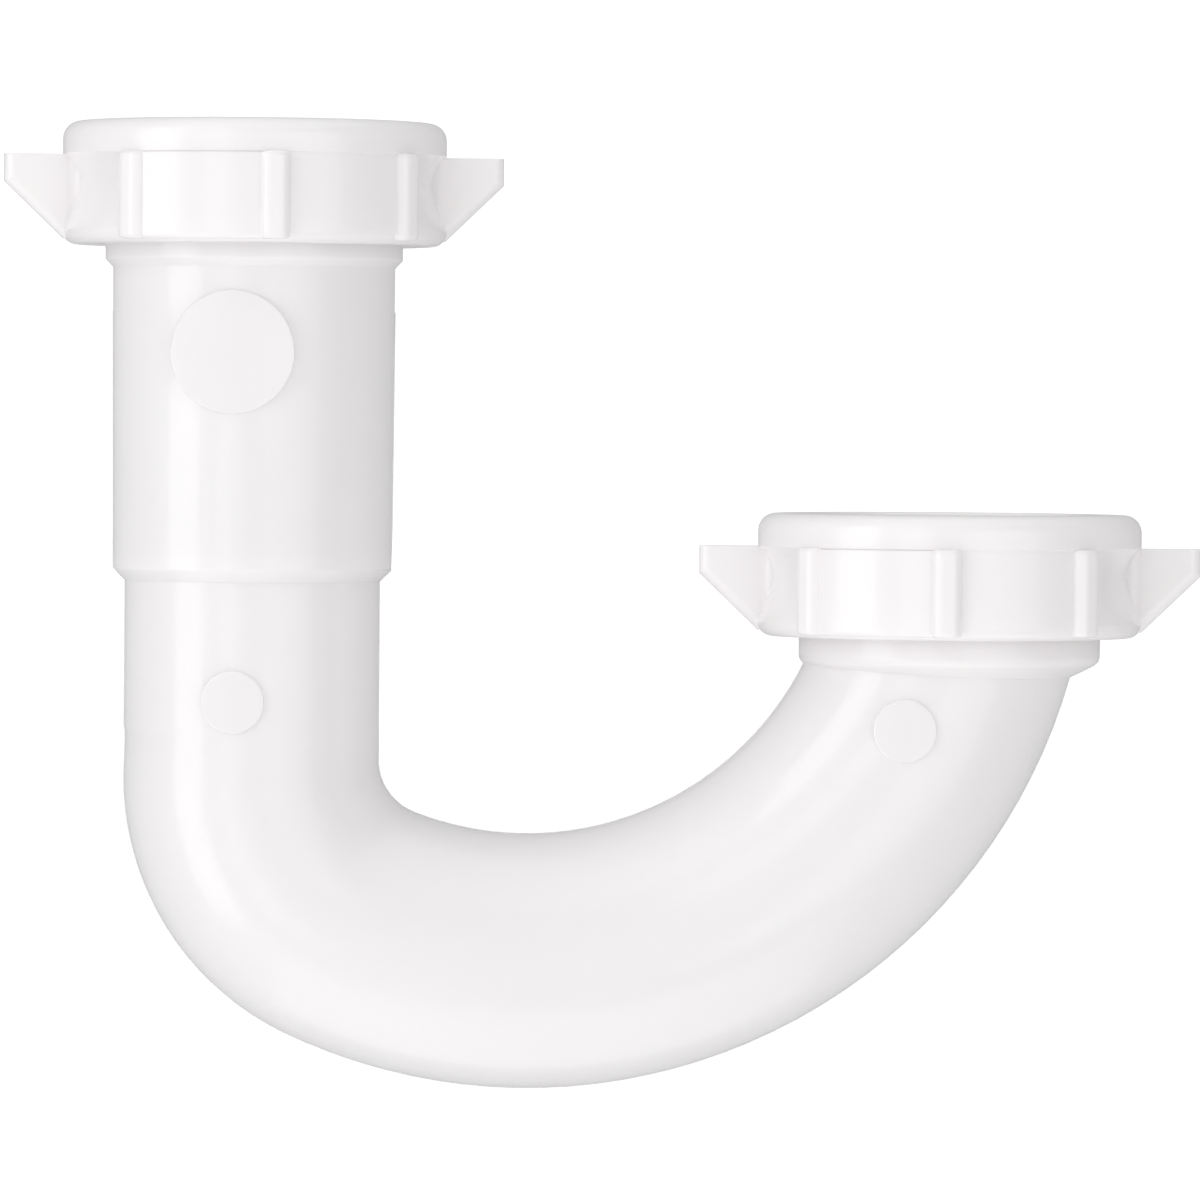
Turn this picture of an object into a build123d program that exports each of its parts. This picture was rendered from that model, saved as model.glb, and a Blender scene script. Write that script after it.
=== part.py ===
from build123d import *
import math
import os

# The J-bend of a plastic P-trap for 1-1/2 inch drain tube: one moulded bend, and for each of its
# sockets a slip nut and a bevelled washer. Millimetres, +Z up. The bend lies in the XZ plane with
# its outlet at +X. The origin is on the inlet's axis, at the top of the inlet's straight bore,
# where the bevel that seats the washer begins.

# --- driving dimensions ---------------------------------------------------------------------
TUBE_OD = 38.1  # nominal 1-1/2 inch drain tube
WALL = 1.9
LEG_SPACING = 104.6  # inlet axis to outlet axis
OUTLET_DROP = 57.85  # inlet mouth down to outlet mouth
INLET_STOP_DEPTH = 60.5  # mouth to the ledge that stops the tube
OUTLET_STOP_DEPTH = 15.9
THREAD_PITCH = 25.4 / 11.5  # 11.5 threads per inch
THREAD_CREST_R = 23.9
THREAD_ROOT_R = 22.3
NUT_HEIGHT = 18.4
INLET_NUT_TURN = 8.3  # degrees from the X axis to a nut's wing
OUTLET_NUT_TURN = -3.0
MATING_GAP = 0.25  # between a washer and what it lies on
NEAR = 0.1  # two places closer than this are the same place
LEAD_IN = 0.3  # bevel on the outer edge of a threaded neck

TUBE_R = TUBE_OD / 2
WATER_R = TUBE_R - WALL
SOCKET_R = TUBE_R + 0.3  # slip clearance round the tube that goes in

# --- sockets: levels are measured from each socket's mouth, upwards ---------------------------
BEVEL_DEPTH = 3.2
BEVEL_R = 21.6  # the bevel's radius at the mouth
INLET_MOUTH = Plane((0, 0, BEVEL_DEPTH))
OUTLET_MOUTH = Plane((LEG_SPACING, 0, BEVEL_DEPTH - OUTLET_DROP))
MOUTH_Z = INLET_MOUTH.origin.Z

# --- the inlet socket's outside, below its threaded neck --------------------------------------
COLLAR_FOOT = -16.1
COLLAR_TAPER = 1.2
INLET_TOP_R = 21.15
INLET_LOW_R = 20.85
SHOULDER = -62.4
SHOULDER_DROP = INLET_LOW_R - TUBE_R
STEP_R = 0.45  # rounding of the collar's and shoulder's edges

# --- the bead under the outlet's threaded neck ------------------------------------------------
BEAD_R = 22.55
BEAD_TOP = -13.4
BEAD_FOOT = -17.7
BEAD_EDGE_R = 1.5
BEAD_CONE_FOOT = -19.9
BEAD_CONE_R = 18.2

# --- the bend: a straight leg blended into a long arc about one centre ------------------------
LEG_FOOT = -86.0
ARC_X = 41.2
ARC_Z = MOUTH_Z - 55.5
ARC_R = 65.45
HEEL_R = 42.5  # outside of the corner where leg and arc meet
CROTCH_R = 8.5  # inside of that corner
ARC_LEAD_IN = (-20.0, -18.0, -16.0)  # degrees from straight down, positive towards the outlet
ARC_START = -14.0
ARC_END = 77.5
CORNER_STEPS = 6

# --- flat round pads on the front of the bend -------------------------------------------------
PAD_PROUD = 0.35
PAD_DEPTH = 4.0
PAD_EDGE_R = 0.25
PADS = (  # (x, z), radius, and the radius of the wall behind
    ((-2.3, MOUTH_Z - 30.0), 9.2, 21.05),
    ((-2.1, MOUTH_Z - 81.9), 4.7, TUBE_R),
    ((97.5, MOUTH_Z - 85.4), 4.7, TUBE_R),
)

# --- threads ----------------------------------------------------------------------------------
OUTER_THREAD_FOOT = -12.3  # middle of the lowest turn
OUTER_TURNS = 5.0
INNER_THREAD_FOOT = OUTER_THREAD_FOOT + THREAD_PITCH / 2  # in the middle of the other's groove
INNER_TURNS = 4.0
RIDGE_BASE = 1.5
RIDGE_TIP = 0.55
RIDGE_BITE = 0.25  # how far a ridge's foot is sunk into its wall
THREAD_GAP = 0.35  # crest to the wall that faces it
THREAD_REACH = 1.4  # of the nut's ridge into the groove

# --- slip nut ---------------------------------------------------------------------------------
NUT_TOP = 4.45
NUT_FOOT = NUT_TOP - NUT_HEIGHT
NUT_BORE_R = THREAD_CREST_R + THREAD_GAP
RIM_R = 28.75
RIM_CORNER_R = 2.6
RIM_FOOT = NUT_TOP - 4.95
RIM_STEP = 0.2  # under the rim
HOLLOW_R = 26.7  # of the grip hollows, from each wing to the ribs beside it
HOLLOW_DROP = 3.4  # from the rim's foot to the deepest part
HOLLOW_TANGENTS = ((-1.2, -1), (0.3, -1))
FOOT_R = 28.8
FOOT_CORNER_R = 2.1
SKIRT_FOOT = NUT_FOOT + FOOT_CORNER_R
FOOT_MOUTH_BEVEL = 0.8
LIP_THICKNESS = 2.6
LIP_HOLE_R = 19.75
LIP_HOLE_BEVEL = 0.6
SEAT_R = 23.2
SEAT_FOOT = -0.35
GRIPS = 8  # ribs and wings round the nut
GRIP_STEP = 360 / GRIPS
GRIP_ROOT_R = 26.3  # ribs and plates are sunk this far into the skirt
RIB_R = 30.2
RIB_WIDTH = 4.5
RIB_CORNER_R = 1.7
RIB_TOP = RIM_FOOT
RIB_FOOT = NUT_FOOT + 0.5
RIB_END_R = 0.8
PLATE_R = 29.05  # smooth raised plates between two ribs, on opposite sides
PLATE_FOOT = RIB_FOOT
PLATE_START = -135.0  # degrees from a wing
PLATE_TOP = RIM_FOOT - 0.25
PLATE_FOOT_R = 0.8
WING_TIP_R = 37.6
WING_WIDTH = 4.2
WING_TOP = NUT_TOP - 5.0
WING_END = 4.1  # height of the upright end
WING_ROOT_R = 2.6
WING_ROOT_DISC_R = HOLLOW_R - 0.4
FREE_R = FOOT_R + 2.0  # a wing's edges are rounded beyond this radius
WING_EDGE_R = 1.6
WING_HOLLOW_R = NUT_BORE_R + 1.0
WING_BEVEL_SLOPE = 0.96
WING_FOOT = WING_TOP - WING_END - WING_BEVEL_SLOPE * (WING_TIP_R - FOOT_R)

# --- bevelled washer --------------------------------------------------------------------------
WASHER_BORE_R = 19.15
WASHER_FLANGE_R = 22.6
WASHER_TOP = NUT_TOP - LIP_THICKNESS - MATING_GAP
WASHER_CONE_DEPTH = 2.5
WASHER_EDGE = 0.4


def front_plane(plane):
    """The upright plane through that plane's origin, with x along +X, y along +Z and its back to +Y."""
    return Plane(origin=plane.origin, x_dir=(1, 0, 0), z_dir=(0, -1, 0))


def turning_axis(plane):
    return Axis(plane.origin, (0, 0, 1))


def arc_point(angle, radius):
    """The point at that angle from straight down and that radius from the centre of the long arc."""
    a = math.radians(angle)
    return Vector(ARC_X + radius * math.sin(a), 0, ARC_Z - radius * math.cos(a))


def blend_centre(side_x, blend_r, reach):
    """Centre of a circle tangent to the leg's side at side_x, at that reach from the long arc's centre."""
    x = side_x + blend_r
    return Vector(x, 0, ARC_Z - math.sqrt(reach**2 - (x - ARC_X) ** 2))


def across_plane(inside, outside):
    """The plane square to the bend, halfway between two points of its outline."""
    outwards = (outside - inside).normalized()
    return Plane(origin=(inside + outside) / 2, x_dir=outwards, z_dir=Vector(0, 1, 0).cross(outwards))


def skin(tube_r, top):
    """The leg, its blended corner and the long arc, solid, up to that level below the inlet's mouth."""
    inset = TUBE_R - tube_r
    crotch = blend_centre(TUBE_R, CROTCH_R, ARC_R - TUBE_R - CROTCH_R)
    heel = blend_centre(-TUBE_R, HEEL_R, ARC_R + TUBE_R - HEEL_R)
    crotch_turn = math.atan2(ARC_Z - crotch.Z, ARC_X - crotch.X)
    heel_turn = math.atan2(ARC_Z - heel.Z, ARC_X - heel.X)

    def arc_plane(angle):
        return across_plane(arc_point(angle, ARC_R - tube_r), arc_point(angle, ARC_R + tube_r))

    with BuildPart() as corner:
        with BuildSketch(INLET_MOUTH.offset(LEG_FOOT)):
            Circle(tube_r)
        for step in range(CORNER_STEPS + 1):
            a = math.pi + crotch_turn * step / CORNER_STEPS
            b = math.pi + heel_turn * step / CORNER_STEPS
            inside = crotch + Vector(math.cos(a), 0, math.sin(a)) * (CROTCH_R + inset)
            outside = heel + Vector(math.cos(b), 0, math.sin(b)) * (HEEL_R - inset)
            with BuildSketch(across_plane(inside, outside)):
                Ellipse((inside - outside).length / 2, tube_r)
        for angle in (*ARC_LEAD_IN, ARC_START):
            with BuildSketch(arc_plane(angle)):
                Circle(tube_r)
        loft()

    with BuildPart() as whole:
        add(corner.part)
        with BuildSketch(INLET_MOUTH.offset(LEG_FOOT)):
            Circle(tube_r)
        extrude(amount=top - LEG_FOOT)
        with BuildSketch(arc_plane(ARC_START)):
            Circle(tube_r)
        revolve(axis=Axis((ARC_X, 0, ARC_Z), (0, -1, 0)), revolution_arc=ARC_END - ARC_START)
    return whole.part


def thread_ridge(mouth, wall_r, tip_r, foot, turns):
    """A right-handed helical ridge that stands on a wall at wall_r and reaches tip_r."""
    outwards = 1 if tip_r > wall_r else -1
    sunk_r = wall_r - outwards * RIDGE_BITE
    start = mouth.offset(foot)
    with BuildPart() as ridge:
        with BuildLine(start) as path:
            Helix(THREAD_PITCH, THREAD_PITCH * turns, sunk_r)
        heading = path.line % 0
        with BuildSketch(Plane(origin=path.line @ 0, x_dir=(outwards, 0, 0), z_dir=heading)):
            height = abs(tip_r - sunk_r)
            with BuildLine():
                Polyline(
                    (0, -RIDGE_BASE / 2),
                    (height, -RIDGE_TIP / 2),
                    (height, RIDGE_TIP / 2),
                    (0, RIDGE_BASE / 2),
                    close=True,
                )
            make_face()
        sweep(path=path.line, is_frenet=True)
    return ridge.part


def socket_hollow(mouth, stop_depth):
    """The bevel and straight bore of a socket."""
    with BuildPart() as hollow:
        with BuildSketch(front_plane(mouth)):
            with BuildLine():
                Polyline(
                    (0, 0),
                    (BEVEL_R, 0),
                    (SOCKET_R, -BEVEL_DEPTH),
                    (SOCKET_R, -stop_depth),
                    (0, -stop_depth),
                    close=True,
                )
            make_face()
        revolve(axis=turning_axis(mouth))
    return hollow.part


def round_pad(face_centre, pad_r):
    """A flat round pad with a rounded edge, facing -Y."""
    with BuildPart() as pad:
        with BuildSketch(Plane(origin=face_centre, z_dir=(0, 1, 0))):
            Circle(pad_r)
        extrude(amount=PAD_DEPTH)
        fillet(pad.edges().group_by(Axis.Y)[0], PAD_EDGE_R)
    return pad.part


def socketed_bend():
    """The bend with both sockets and their threads."""
    water = skin(WATER_R, -INLET_STOP_DEPTH)
    with BuildPart() as bend:
        add(skin(TUBE_R, SHOULDER))
        # inlet socket: threaded neck, collar, drafted body and shoulder
        with BuildSketch(front_plane(INLET_MOUTH)) as inlet_side:
            with BuildLine():
                Polyline(
                    (0, 0),
                    (THREAD_ROOT_R - LEAD_IN, 0),
                    (THREAD_ROOT_R, -LEAD_IN),
                    (THREAD_ROOT_R, COLLAR_FOOT),
                    (INLET_TOP_R, COLLAR_FOOT - COLLAR_TAPER),
                    (INLET_LOW_R, SHOULDER),
                    (TUBE_R, SHOULDER - SHOULDER_DROP),
                    (0, SHOULDER - SHOULDER_DROP),
                    close=True,
                )
            make_face()
            steps = [v for v in inlet_side.vertices() if v.X > TUBE_R + NEAR and v.Y < COLLAR_FOOT + NEAR]
            fillet(steps, STEP_R)
        revolve(axis=turning_axis(INLET_MOUTH))
        # outlet socket: threaded neck and a bead with a coned underside
        with BuildSketch(front_plane(OUTLET_MOUTH)) as outlet_side:
            with BuildLine():
                Polyline(
                    (0, 0),
                    (THREAD_ROOT_R - LEAD_IN, 0),
                    (THREAD_ROOT_R, -LEAD_IN),
                    (THREAD_ROOT_R, BEAD_TOP),
                    (BEAD_R, BEAD_TOP - (BEAD_R - THREAD_ROOT_R)),
                    (BEAD_R, BEAD_FOOT),
                    (BEAD_CONE_R, BEAD_CONE_FOOT),
                    (0, BEAD_CONE_FOOT),
                    close=True,
                )
            make_face()
            fillet(outlet_side.vertices().sort_by_distance((BEAD_R, BEAD_FOOT))[0], BEAD_EDGE_R)
        revolve(axis=turning_axis(OUTLET_MOUTH))
        # flat round pads on the front
        for (x, z), pad_r, wall_r in PADS:
            add(round_pad((x, -wall_r - PAD_PROUD, z), pad_r))
        # the way through
        add(socket_hollow(INLET_MOUTH, INLET_STOP_DEPTH), mode=Mode.SUBTRACT)
        add(socket_hollow(OUTLET_MOUTH, OUTLET_STOP_DEPTH), mode=Mode.SUBTRACT)
        add(water, mode=Mode.SUBTRACT)
        for mouth in (INLET_MOUTH, OUTLET_MOUTH):
            add(thread_ridge(mouth, THREAD_ROOT_R, THREAD_CREST_R, OUTER_THREAD_FOOT, OUTER_TURNS))
    return bend


def turned_plane(mouth, level, turn):
    """The level plane at that height over a mouth, its x direction that many degrees off +X."""
    return Plane(mouth.offset(level).origin, x_dir=Vector(1, 0, 0).rotate(Axis.Z, turn), z_dir=(0, 0, 1))


def wings(mouth, turn):
    """A nut's two opposite wings, with wide rounded roots, bevelled feet and rounded edges."""
    side_view = Plane(
        mouth.origin,
        x_dir=Vector(1, 0, 0).rotate(Axis.Z, turn),
        z_dir=Vector(0, -1, 0).rotate(Axis.Z, turn),
    )
    with BuildPart() as outline:
        with BuildSketch(side_view):
            with BuildLine():
                Polyline(
                    (-WING_TIP_R, WING_TOP),
                    (WING_TIP_R, WING_TOP),
                    (WING_TIP_R, WING_TOP - WING_END),
                    (FOOT_R, WING_FOOT),
                    (-FOOT_R, WING_FOOT),
                    (-WING_TIP_R, WING_TOP - WING_END),
                    close=True,
                )
            make_face()
        extrude(amount=WING_TIP_R, both=True)

    with BuildPart() as pair:
        with BuildSketch(turned_plane(mouth, WING_FOOT, turn)) as plan:
            Circle(WING_ROOT_DISC_R)
            Rectangle(2 * WING_TIP_R, WING_WIDTH)
            roots = [v for v in plan.vertices() if abs(v.X) < WING_ROOT_DISC_R and abs(v.Y) > NEAR]
            fillet(roots, WING_ROOT_R)
            Circle(WING_HOLLOW_R, mode=Mode.SUBTRACT)
        extrude(amount=WING_TOP - WING_FOOT)
        add(outline.part, mode=Mode.INTERSECT)
        below_top = pair.edges().group_by(Axis.Z)[:-1]
        outer = [
            e
            for level in below_top
            for e in level
            if (e.center() - mouth.origin).cross(mouth.z_dir).length > FREE_R
        ]
        fillet([e for e in outer if abs((e % 0.5).dot(side_view.z_dir)) < 0.5], WING_EDGE_R)
    return pair.part


def ribs(mouth, turn):
    """Upright ribs with rounded corners and ends, on every eighth of the turn that has no wing."""
    with BuildPart() as row:
        for step in range(GRIPS):
            if step % (GRIPS // 2) != 0:
                with BuildSketch(turned_plane(mouth, RIB_FOOT, turn + step * GRIP_STEP)) as section:
                    with Locations(((RIB_R + GRIP_ROOT_R) / 2, 0)):
                        Rectangle(RIB_R - GRIP_ROOT_R, RIB_WIDTH)
                    fillet(section.vertices().group_by(Axis.X)[-1], RIB_CORNER_R)
                extrude(amount=RIB_TOP - RIB_FOOT)
        fillet(row.faces().filter_by(Axis.Z).edges(), RIB_END_R)
    return row.part


def grip_hollow(mouth, turn):
    """What is taken off the skirt on both sides of the wing at that turn, as far as the ribs beside it."""
    side_view = Plane(
        mouth.origin,
        x_dir=Vector(1, 0, 0).rotate(Axis.Z, turn - GRIP_STEP),
        z_dir=Vector(0, -1, 0).rotate(Axis.Z, turn - GRIP_STEP),
    )
    with BuildPart() as hollow:
        with BuildSketch(side_view):
            with BuildLine():
                Spline(
                    (RIM_R - RIM_STEP, RIM_FOOT - RIM_STEP),
                    (HOLLOW_R, RIM_FOOT - HOLLOW_DROP),
                    (FOOT_R, SKIRT_FOOT),
                    tangents=HOLLOW_TANGENTS,
                )
                Polyline(
                    (FOOT_R, SKIRT_FOOT),
                    (RIB_R, SKIRT_FOOT),
                    (RIB_R, RIM_FOOT - RIM_STEP),
                    (RIM_R - RIM_STEP, RIM_FOOT - RIM_STEP),
                )
            make_face()
        revolve(axis=turning_axis(mouth), revolution_arc=2 * GRIP_STEP)
    return hollow.part


def plates(mouth, turn):
    """Two smooth raised plates on opposite sides, each from one rib to the next, with rounded feet."""
    with BuildPart() as pair:
        with BuildSketch(turned_plane(mouth, PLATE_FOOT, turn)):
            for start in (PLATE_START, PLATE_START + 180):
                with BuildLine():
                    rim = CenterArc((0, 0), PLATE_R, start, GRIP_STEP)
                    Polyline(rim @ 1, (0, 0), rim @ 0)
                make_face()
            Circle(GRIP_ROOT_R, mode=Mode.SUBTRACT)
        extrude(amount=PLATE_TOP - PLATE_FOOT)
        feet = pair.edges().filter_by(GeomType.CIRCLE).group_by(Axis.Z)[0]
        fillet([e for e in feet if e.radius > RIM_R], PLATE_FOOT_R)
    return pair.part


def slip_nut(mouth, turn):
    """A slip nut screwed down on the neck under that mouth, its wings that many degrees off the X axis."""
    with BuildPart() as nut:
        # turned body: rim with a rounded shoulder, skirt, lip and seat inside
        with BuildSketch(front_plane(mouth)):
            with BuildLine():
                Polyline(
                    (NUT_BORE_R, SEAT_FOOT - (NUT_BORE_R - SEAT_R)),
                    (SEAT_R, SEAT_FOOT),
                    (SEAT_R, NUT_TOP - LIP_THICKNESS),
                    (LIP_HOLE_R, NUT_TOP - LIP_THICKNESS),
                    (LIP_HOLE_R, NUT_TOP - LIP_HOLE_BEVEL),
                    (LIP_HOLE_R + LIP_HOLE_BEVEL, NUT_TOP),
                    (RIM_R - RIM_CORNER_R, NUT_TOP),
                )
                RadiusArc((RIM_R - RIM_CORNER_R, NUT_TOP), (RIM_R, NUT_TOP - RIM_CORNER_R), RIM_CORNER_R)
                Polyline(
                    (RIM_R, NUT_TOP - RIM_CORNER_R),
                    (RIM_R, RIM_FOOT),
                    (RIM_R - RIM_STEP, RIM_FOOT - RIM_STEP),
                    (FOOT_R, SKIRT_FOOT),
                )
                RadiusArc((FOOT_R, SKIRT_FOOT), (FOOT_R - FOOT_CORNER_R, NUT_FOOT), FOOT_CORNER_R)
                Polyline(
                    (FOOT_R - FOOT_CORNER_R, NUT_FOOT),
                    (NUT_BORE_R + FOOT_MOUTH_BEVEL, NUT_FOOT),
                    (NUT_BORE_R, NUT_FOOT + FOOT_MOUTH_BEVEL),
                    (NUT_BORE_R, SEAT_FOOT - (NUT_BORE_R - SEAT_R)),
                )
            make_face()
        revolve(axis=turning_axis(mouth))
        add(thread_ridge(mouth, NUT_BORE_R, NUT_BORE_R - THREAD_REACH, INNER_THREAD_FOOT, INNER_TURNS))
        for side in (0, 180):
            add(grip_hollow(mouth, turn + side), mode=Mode.SUBTRACT)
        add(plates(mouth, turn))
        add(ribs(mouth, turn))
        add(wings(mouth, turn))
    return nut


def bevelled_washer(mouth):
    """A washer with a flat flange, and a cone that goes down into the mouth's bevel."""
    slope = (BEVEL_R - SOCKET_R) / BEVEL_DEPTH
    side_gap = MATING_GAP * math.hypot(1, slope)

    def cone_r(level):
        return BEVEL_R + level * slope - side_gap

    with BuildPart() as washer:
        with BuildSketch(front_plane(mouth)):
            with BuildLine():
                Polyline(
                    (WASHER_BORE_R, WASHER_TOP - WASHER_EDGE),
                    (WASHER_BORE_R + WASHER_EDGE, WASHER_TOP),
                    (WASHER_FLANGE_R - WASHER_EDGE, WASHER_TOP),
                    (WASHER_FLANGE_R, WASHER_TOP - WASHER_EDGE),
                    (WASHER_FLANGE_R, MATING_GAP),
                    (cone_r(MATING_GAP), MATING_GAP),
                    (cone_r(-WASHER_CONE_DEPTH), -WASHER_CONE_DEPTH),
                    (WASHER_BORE_R, -WASHER_CONE_DEPTH),
                    close=True,
                )
            make_face()
        revolve(axis=turning_axis(mouth))
    return washer


os.makedirs("parts", exist_ok=True)

j_bend = socketed_bend()
j_bend.part.label = "j_bend"
export_step(j_bend.part, "parts/j_bend.step")

inlet_washer = bevelled_washer(INLET_MOUTH)
inlet_washer.part.label = "inlet_washer"
export_step(inlet_washer.part, "parts/inlet_washer.step")

inlet_slip_nut = slip_nut(INLET_MOUTH, INLET_NUT_TURN)
inlet_slip_nut.part.label = "inlet_slip_nut"
export_step(inlet_slip_nut.part, "parts/inlet_slip_nut.step")

outlet_washer = bevelled_washer(OUTLET_MOUTH)
outlet_washer.part.label = "outlet_washer"
export_step(outlet_washer.part, "parts/outlet_washer.step")

outlet_slip_nut = slip_nut(OUTLET_MOUTH, OUTLET_NUT_TURN)
outlet_slip_nut.part.label = "outlet_slip_nut"
export_step(outlet_slip_nut.part, "parts/outlet_slip_nut.step")
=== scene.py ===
import math

import bmesh
import bpy
from mathutils import Matrix, Vector
from mathutils.bvhtree import BVHTree


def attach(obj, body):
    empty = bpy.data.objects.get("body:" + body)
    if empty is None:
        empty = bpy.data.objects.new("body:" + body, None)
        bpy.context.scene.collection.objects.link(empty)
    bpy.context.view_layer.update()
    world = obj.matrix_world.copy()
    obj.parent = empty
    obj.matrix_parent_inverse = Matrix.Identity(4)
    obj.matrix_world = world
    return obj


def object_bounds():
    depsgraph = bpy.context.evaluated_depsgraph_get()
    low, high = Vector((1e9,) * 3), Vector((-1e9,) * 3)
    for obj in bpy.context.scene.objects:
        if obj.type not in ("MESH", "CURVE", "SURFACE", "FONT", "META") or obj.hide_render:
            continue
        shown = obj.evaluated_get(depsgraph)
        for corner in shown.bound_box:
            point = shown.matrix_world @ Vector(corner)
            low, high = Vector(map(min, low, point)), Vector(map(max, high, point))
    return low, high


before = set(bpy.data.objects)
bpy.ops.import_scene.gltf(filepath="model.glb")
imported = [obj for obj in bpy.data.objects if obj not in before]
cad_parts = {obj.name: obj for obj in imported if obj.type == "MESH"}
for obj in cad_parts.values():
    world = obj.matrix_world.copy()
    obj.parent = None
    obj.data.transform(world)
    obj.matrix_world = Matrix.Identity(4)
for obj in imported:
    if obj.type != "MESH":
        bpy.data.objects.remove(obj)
cad_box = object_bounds()

MM = 0.001
MIDDLE = (cad_box[0] + cad_box[1]) / 2
ACROSS = Vector((1, 0, 0))
BACKWARD = Vector((0, 1, 0))
WHITE = (1, 1, 1, 1)


# --- helpers ----------------------------------------------------------------------------------
def add_object(name, data):
    """A new object in the scene's own collection."""
    placed = bpy.data.objects.new(name, data)
    bpy.context.scene.collection.objects.link(placed)
    return placed


def ring(shape, centre, across, up, radius, sides):
    """A circle of new vertices in the plane of two unit vectors."""
    angles = [2 * math.pi * k / sides for k in range(sides)]
    return [shape.verts.new(centre + (across * math.cos(a) + up * math.sin(a)) * radius) for a in angles]


def bridge(shape, rings):
    """Smooth faces between each ring and the next."""
    for one, other in zip(rings, rings[1:]):
        for k in range(len(one)):
            n = (k + 1) % len(one)
            shape.faces.new((one[k], one[n], other[n], other[k])).smooth = True


def mesh_object(name, shape, material):
    """A new object with that shape and material. It uses the bmesh up."""
    mesh = bpy.data.meshes.new(name)
    shape.to_mesh(mesh)
    shape.free()
    mesh.materials.append(material)
    return add_object(name, mesh)


# --- camera: nearly level, far off, turned a little about its own axis ------------------------
VIEW_WIDTH = 180 * MM  # at the plane of the bend
CAMERA_DISTANCE = 1345 * MM
EYE_LEVEL = -36.6 * MM
AIM = Vector((52.2 * MM, 0, -63.5 * MM))
CAMERA_ROLL = 0.0075  # radians
SENSOR_WIDTH = 36.0
CLIP_START = 0.01
CLIP_END = 50


def make_camera():
    data = bpy.data.cameras.new("camera")
    data.sensor_width = SENSOR_WIDTH
    data.lens = SENSOR_WIDTH * CAMERA_DISTANCE / VIEW_WIDTH
    data.clip_start = CLIP_START
    data.clip_end = CLIP_END
    camera = add_object("camera", data)
    place = Vector((AIM.x, -CAMERA_DISTANCE, EYE_LEVEL))
    look = (AIM - place).to_track_quat("-Z", "Y").to_matrix().to_4x4()
    camera.matrix_world = Matrix.Translation(place) @ look @ Matrix.Rotation(CAMERA_ROLL, 4, "Z")
    bpy.context.scene.camera = camera


# --- floor ------------------------------------------------------------------------------------
STAGE_DROP = 800 * MM  # the fitting hangs well clear of the floor, as under a basin
STAGE_R = 6.0
SWEEP_R = 2.0
SWEEP_STEPS = 12
STAGE_SIDES = 64
FLOOR_COLOUR = (0.9, 0.9, 0.9, 1)
FLOOR_ROUGHNESS = 0.9
FLOOR_GLOW = 0.6  # keeps the floor as white as the photograph's background


def floor_paint():
    material = bpy.data.materials.new("floor_paint")
    material.use_nodes = True
    shader = material.node_tree.nodes["Principled BSDF"]
    shader.inputs["Base Color"].default_value = FLOOR_COLOUR
    shader.inputs["Roughness"].default_value = FLOOR_ROUGHNESS
    shader.inputs["Specular IOR Level"].default_value = 0
    shader.inputs["Emission Color"].default_value = WHITE
    shader.inputs["Emission Strength"].default_value = FLOOR_GLOW
    return material


def make_stage():
    """A pale floor that sweeps up into a round wall without an edge. Only the camera sees it."""
    profile = []
    for i in range(SWEEP_STEPS + 1):
        a = math.pi / 2 * i / SWEEP_STEPS
        profile.append((STAGE_R - SWEEP_R + SWEEP_R * math.sin(a), SWEEP_R * (1 - math.cos(a))))
    profile.append((STAGE_R, STAGE_R))
    floor_z = cad_box[0].z - STAGE_DROP
    shape = bmesh.new()
    rings = []
    for r, z in profile:
        centre = Vector((MIDDLE.x, MIDDLE.y, floor_z + z))
        rings.append(ring(shape, centre, ACROSS, BACKWARD, r, STAGE_SIDES))
    shape.faces.new(rings[0])
    bridge(shape, rings)
    floor = mesh_object("floor", shape, floor_paint())
    floor.visible_diffuse = False
    floor.visible_glossy = False
    floor.visible_shadow = False


# --- lights -----------------------------------------------------------------------------------
WORLD_STRENGTH = 0.52


def beside_camera(bearing, distance, height):
    """A place that many degrees to the left of the camera's side."""
    a = math.radians(bearing)
    return Vector((-distance * math.sin(a), -distance * math.cos(a), height))


# name: (place relative to the fitting's middle, width, height, radiance)
SOFT_BOXES = {
    "left_box": (beside_camera(58, 1.4, 0.1), 0.67, 2.3, 1.7),
    "strip": (beside_camera(21, 1.4, 0.1), 0.37, 1.6, 0.85),
    "front_fill": (beside_camera(-32, 1.6, -0.1), 1.3, 1.6, 0.9),
    "top_panel": (Vector((0, -0.3, 1.5)), 2.0, 2.0, 0.5),
    "low_panel": (Vector((0, -0.3, -1.5)), 2.0, 2.0, 0.75),
}


def soft_box(name, place, width, height, radiance):
    """A rectangular soft light that faces the fitting."""
    data = bpy.data.lights.new(name, "AREA")
    data.shape = "RECTANGLE"
    data.size = width
    data.size_y = height
    data.energy = radiance * math.pi * width * height
    lamp = add_object(name, data)
    lamp.location = MIDDLE + place
    lamp.rotation_mode = "QUATERNION"
    lamp.rotation_quaternion = (-place).to_track_quat("-Z", "Y")


def make_lights():
    world = bpy.data.worlds.new("studio")
    bpy.context.scene.world = world
    world.use_nodes = True
    background = world.node_tree.nodes["Background"]
    background.inputs["Color"].default_value = WHITE
    background.inputs["Strength"].default_value = WORLD_STRENGTH
    for name, settings in SOFT_BOXES.items():
        soft_box(name, *settings)
    bpy.context.scene.view_settings.view_transform = "Standard"


# --- materials --------------------------------------------------------------------------------
POLYPROPYLENE = (0.93, 0.905, 0.912)
POLYETHYLENE = (0.86, 0.855, 0.82)

# (colour, how much the clouds darken it, roughness, weight of the smooth skin, inner glow)
BEND_FINISH = (POLYPROPYLENE, 0.014, 0.36, 0.6, 0.4)
NUT_FINISH = (POLYPROPYLENE, 0.014, 0.35, 0.65, 0.4)
WASHER_FINISH = (POLYETHYLENE, 0.03, 0.42, 0.2, 0.6)

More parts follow.
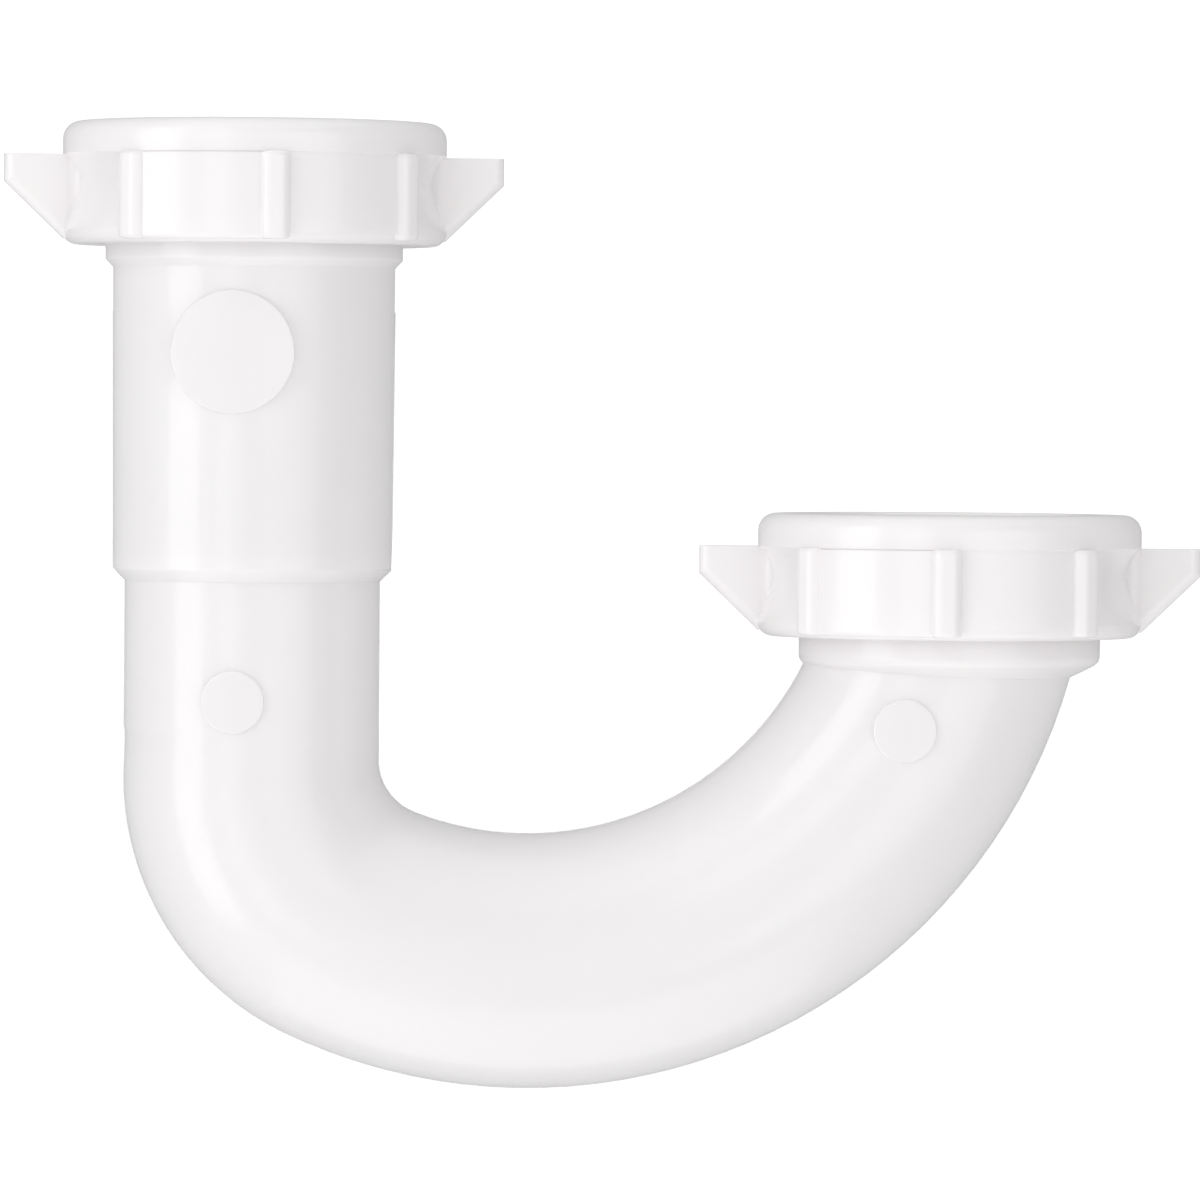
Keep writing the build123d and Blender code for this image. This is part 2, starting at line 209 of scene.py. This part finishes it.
# CAD node: (its material's name, finish, offset that makes its patterns its own)
FINISHES = {
    "j_bend": ("bend_polypropylene", BEND_FINISH, (0, 0, 0)),
    "inlet_slip_nut": ("inlet_nut_polypropylene", NUT_FINISH, (3, 1, 2)),
    "outlet_slip_nut": ("outlet_nut_polypropylene", NUT_FINISH, (7, 4, 5)),
    "inlet_washer": ("inlet_washer_polyethylene", WASHER_FINISH, (9, 2, 1)),
    "outlet_washer": ("outlet_washer_polyethylene", WASHER_FINISH, (1, 8, 3)),
}

NOISE_LOW = 0.3  # nearly all of a noise texture lies between these two
NOISE_HIGH = 0.7
CLOUD_SCALE = 14.0
CLOUD_DETAIL = 2.0
WEAR_SCALE = 160.0
WEAR_DETAIL = 5.0
WEAR_DOWN = 0.05  # how far the wear takes the roughness below its own value
WEAR_UP = 0.06
PEEL_SCALE = 420.0
PEEL_DETAIL = 2.0
PEEL_STRENGTH = 0.25
PEEL_DEPTH = 0.03 * MM
GRAIN_SCALE = 2600.0
GRAIN_DETAIL = 2.0
GRAIN_STRENGTH = 0.2
GRAIN_DEPTH = 0.01 * MM
PLASTIC_IOR = 1.49
SKIN_ROUGHNESS = 0.12
GLOW_RADIUS = (1.0, 0.95, 0.9)
GLOW_DEPTH = 3 * MM


def linked(tree, kind, sockets=None, **settings):
    """A new node with those settings. A socket's value is a number, or another node's output."""
    node = tree.nodes.new(kind)
    for key, value in settings.items():
        setattr(node, key, value)
    for key, value in (sockets or {}).items():
        if isinstance(value, bpy.types.NodeSocket):
            tree.links.new(value, node.inputs[key])
        else:
            node.inputs[key].default_value = value
    return node


def noise(tree, place, scale, detail):
    sockets = {"Vector": place, "Scale": scale, "Detail": detail}
    return linked(tree, "ShaderNodeTexNoise", sockets).outputs["Fac"]


def moulded_plastic(name, finish, offset):
    """Injection-moulded plastic: faintly cloudy colour, uneven gloss, orange peel and fine grain."""
    colour, cloud, roughness, skin_weight, glow = finish
    material = bpy.data.materials.new(name)
    material.use_nodes = True
    tree = material.node_tree
    shader = tree.nodes["Principled BSDF"]
    place = linked(tree, "ShaderNodeTexCoord").outputs["Object"]
    shifted = linked(tree, "ShaderNodeVectorMath", {0: place, 1: offset}, operation="ADD").outputs[0]

    tint = linked(tree, "ShaderNodeValToRGB", {"Fac": noise(tree, shifted, CLOUD_SCALE, CLOUD_DETAIL)})
    tint.color_ramp.interpolation = "EASE"
    dark, light = tint.color_ramp.elements
    dark.position = NOISE_LOW
    dark.color = (*[c - cloud for c in colour], 1)
    light.position = NOISE_HIGH
    light.color = (*colour, 1)
    tree.links.new(tint.outputs["Color"], shader.inputs["Base Color"])

    sockets = {
        "Value": noise(tree, shifted, WEAR_SCALE, WEAR_DETAIL),
        "From Min": NOISE_LOW,
        "From Max": NOISE_HIGH,
        "To Min": roughness - WEAR_DOWN,
        "To Max": roughness + WEAR_UP,
    }
    rough = linked(tree, "ShaderNodeMapRange", sockets)
    tree.links.new(rough.outputs["Result"], shader.inputs["Roughness"])

    sockets = {
        "Height": noise(tree, shifted, PEEL_SCALE, PEEL_DETAIL),
        "Strength": PEEL_STRENGTH,
        "Distance": PEEL_DEPTH,
    }
    peel = linked(tree, "ShaderNodeBump", sockets).outputs["Normal"]
    sockets = {
        "Height": noise(tree, shifted, GRAIN_SCALE, GRAIN_DETAIL),
        "Strength": GRAIN_STRENGTH,
        "Distance": GRAIN_DEPTH,
        "Normal": peel,
    }
    grain = linked(tree, "ShaderNodeBump", sockets).outputs["Normal"]
    tree.links.new(grain, shader.inputs["Normal"])
    tree.links.new(peel, shader.inputs["Coat Normal"])

    shader.inputs["IOR"].default_value = PLASTIC_IOR
    shader.inputs["Coat Weight"].default_value = skin_weight
    shader.inputs["Coat Roughness"].default_value = SKIN_ROUGHNESS
    shader.inputs["Subsurface Weight"].default_value = glow
    shader.inputs["Subsurface Radius"].default_value = GLOW_RADIUS
    shader.inputs["Subsurface Scale"].default_value = GLOW_DEPTH
    return material


# --- the bend's parting line ------------------------------------------------------------------
WELD_GAP = 0.001 * MM
PROBE_LIFT = 0.5 * MM  # a probe starts this far off the surface
PROBE_REACH = 39.5 * MM  # across the widest bore; the bend's two legs stand further apart
FLASH_R = 0.13 * MM
FLASH_SIDES = 8
FLASH_STEP = 0.8 * MM
FLASH_MIN_LENGTH = 60 * MM
FLASH_TOP = -14.5 * MM  # just under the inlet nut


def outline_runs(node):
    """The outside of a node where the XZ plane cuts it, as lists of points in order."""
    shape = bmesh.new()
    shape.from_mesh(node.data)
    bmesh.ops.remove_doubles(shape, verts=shape.verts, dist=WELD_GAP)
    solid = BVHTree.FromBMesh(shape)
    everything = shape.verts[:] + shape.edges[:] + shape.faces[:]
    cut = bmesh.ops.bisect_plane(shape, geom=everything, plane_co=(0, 0, 0), plane_no=BACKWARD)["geom_cut"]
    shape.normal_update()
    shape.verts.index_update()
    neighbours = {}
    for edge in cut:
        if isinstance(edge, bmesh.types.BMEdge):
            for one, other in (edge.verts, reversed(edge.verts)):
                neighbours.setdefault(one, []).append(other)

    def outside(vert):
        """No wall ahead within a bore's width. A point inside a bore faces the wall across it."""
        out = Vector((vert.normal.x, 0, vert.normal.z)).normalized()
        return solid.ray_cast(vert.co + out * PROBE_LIFT, out, PROBE_REACH)[0] is None

    runs = []
    left = sorted((v for v in neighbours if outside(v)), key=lambda v: v.index)
    while left:
        run = [left.pop(0)]
        for end in (0, -1):
            while True:
                ahead = [v for v in neighbours[run[end]] if v in left]
                if not ahead:
                    break
                left.remove(ahead[0])
                run.insert(0 if end == 0 else len(run), ahead[0])
        runs.append([v.co.copy() for v in run])
    shape.free()
    return runs


def thinned(run):
    """The run's points at least one step apart."""
    path = [run[0]]
    for p in run[1:]:
        if (p - path[-1]).length >= FLASH_STEP:
            path.append(p)
    return path


def add_parting_line(material):
    """A fine closed ridge, half sunk, where the two halves of the mould met."""
    shape = bmesh.new()
    for run in outline_runs(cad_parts["j_bend"]):
        run = [p for p in run if p.z < FLASH_TOP]
        if sum((b - a).length for a, b in zip(run, run[1:])) < FLASH_MIN_LENGTH:
            continue
        path = thinned(run)
        rings = []
        for i, p in enumerate(path):
            along = (path[min(i + 1, len(path) - 1)] - path[max(i - 1, 0)]).normalized()
            rings.append(ring(shape, p, along.cross(BACKWARD), BACKWARD, FLASH_R, FLASH_SIDES))
        shape.faces.new(rings[0])
        shape.faces.new(reversed(rings[-1]))
        bridge(shape, rings)
    bmesh.ops.recalc_face_normals(shape, faces=shape.faces)
    ridge = mesh_object("parting_line", shape, material)
    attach(ridge, "trap")


# --- making -----------------------------------------------------------------------------------
make_camera()
make_stage()
make_lights()
plastics = {node: moulded_plastic(*settings) for node, settings in FINISHES.items()}
for node, plastic in plastics.items():
    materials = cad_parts[node].data.materials
    materials.clear()
    materials.append(plastic)
add_parting_line(plastics["j_bend"])
